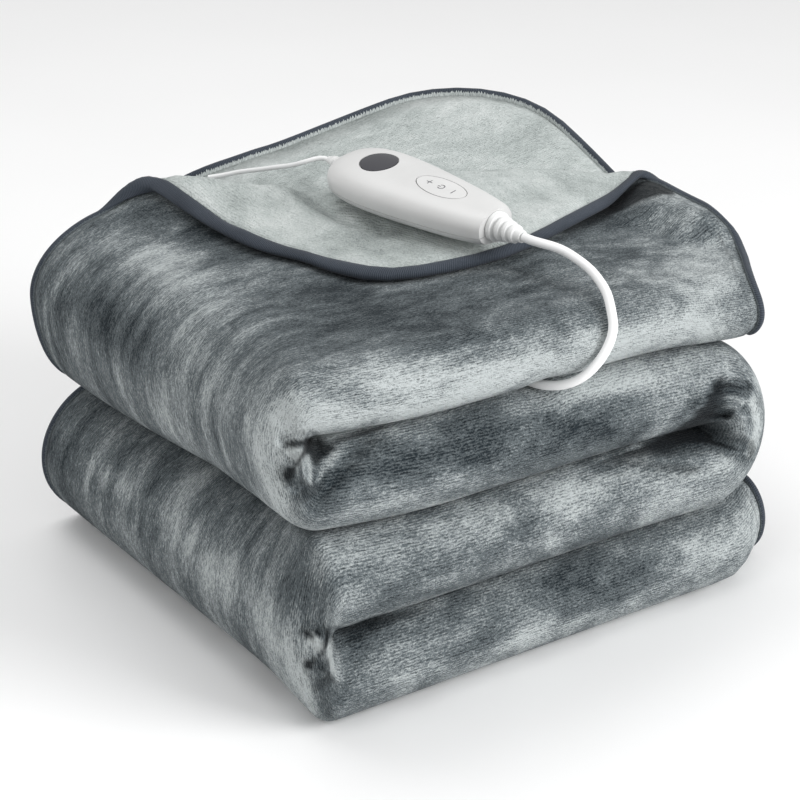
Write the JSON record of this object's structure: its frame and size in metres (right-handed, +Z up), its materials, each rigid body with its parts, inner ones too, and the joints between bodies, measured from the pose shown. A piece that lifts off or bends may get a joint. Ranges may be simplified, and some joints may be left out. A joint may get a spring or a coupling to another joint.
{
  "type": "electric heated blanket",
  "caption": "Plush electric throw blanket folded into a stack with one corner turned back, a wired hand controller on top and a coiled mains cord behind it.",
  "frame": {"origin": "middle of the folded stack's footprint, at the level of its underside", "axes": "+Z up; +X along the stack's longer side, from its two left turns to its open ends; +Y from the lengthwise folds to the free edges and the cord coil"},
  "size_m": [0.3744, 0.4596, 0.2569],
  "materials": {
    "plush": "short plush pile, dark grey outside and light silver grey on the reverse",
    "binding_tape": "fine ribbed knit, slate",
    "white_shell": "satin white",
    "dark_window": "smooth dark display window",
    "white_pad": "satin white button pad",
    "boot_rubber": "soft white strain relief",
    "cord_jacket": "smooth white cord jacket",
    "plug_shell": "moulded white plug",
    "blade_brass": "plain brass blades"
  },
  "bodies": {
    "root": {"blanket_cloth": "plush", "blanket_binding": "binding_tape", "controller_top": "white_shell", "controller_base": "white_shell", "controller_window": "dark_window", "controller_buttons": "white_pad", "mains_boot": "boot_rubber", "lead_boot": "boot_rubber", "heater_lead": "cord_jacket", "mains_cord": "cord_jacket", "mains_cord_tail": "cord_jacket", "cord_coil": "cord_jacket", "cord_tie": "binding_tape", "plug_body": "plug_shell", "plug_blade_left": "blade_brass", "plug_blade_right": "blade_brass"}
  },
  "joints": []
}
